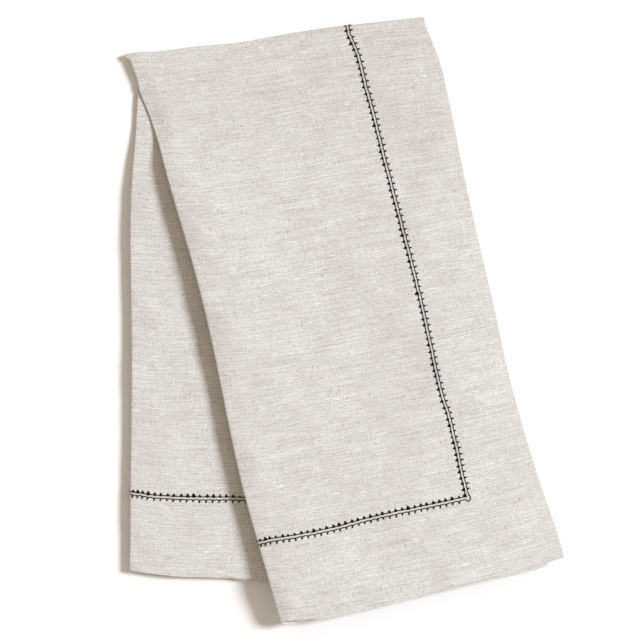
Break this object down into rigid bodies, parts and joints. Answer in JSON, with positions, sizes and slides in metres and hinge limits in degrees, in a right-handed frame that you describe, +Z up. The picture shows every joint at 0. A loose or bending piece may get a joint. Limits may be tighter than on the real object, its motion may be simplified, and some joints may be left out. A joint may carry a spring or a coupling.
{
  "type": "folded cloth napkin",
  "caption": "Square linen dinner napkin with a wide hem and black hemstitching, folded into a long strip and folded over, its two leaves fanned apart.",
  "frame": {"origin": "on the table, under the middle of the folded napkin's outline", "axes": "+Z up from the table, +Y towards the folded top, +X towards the napkin's open edges"},
  "size_m": [0.1982, 0.2754, 0.0116],
  "materials": {
    "linen": "natural plain-weave linen, matt, lightly slubbed"
  },
  "bodies": {
    "root": {"napkin_cloth": "linen"}
  },
  "joints": []
}
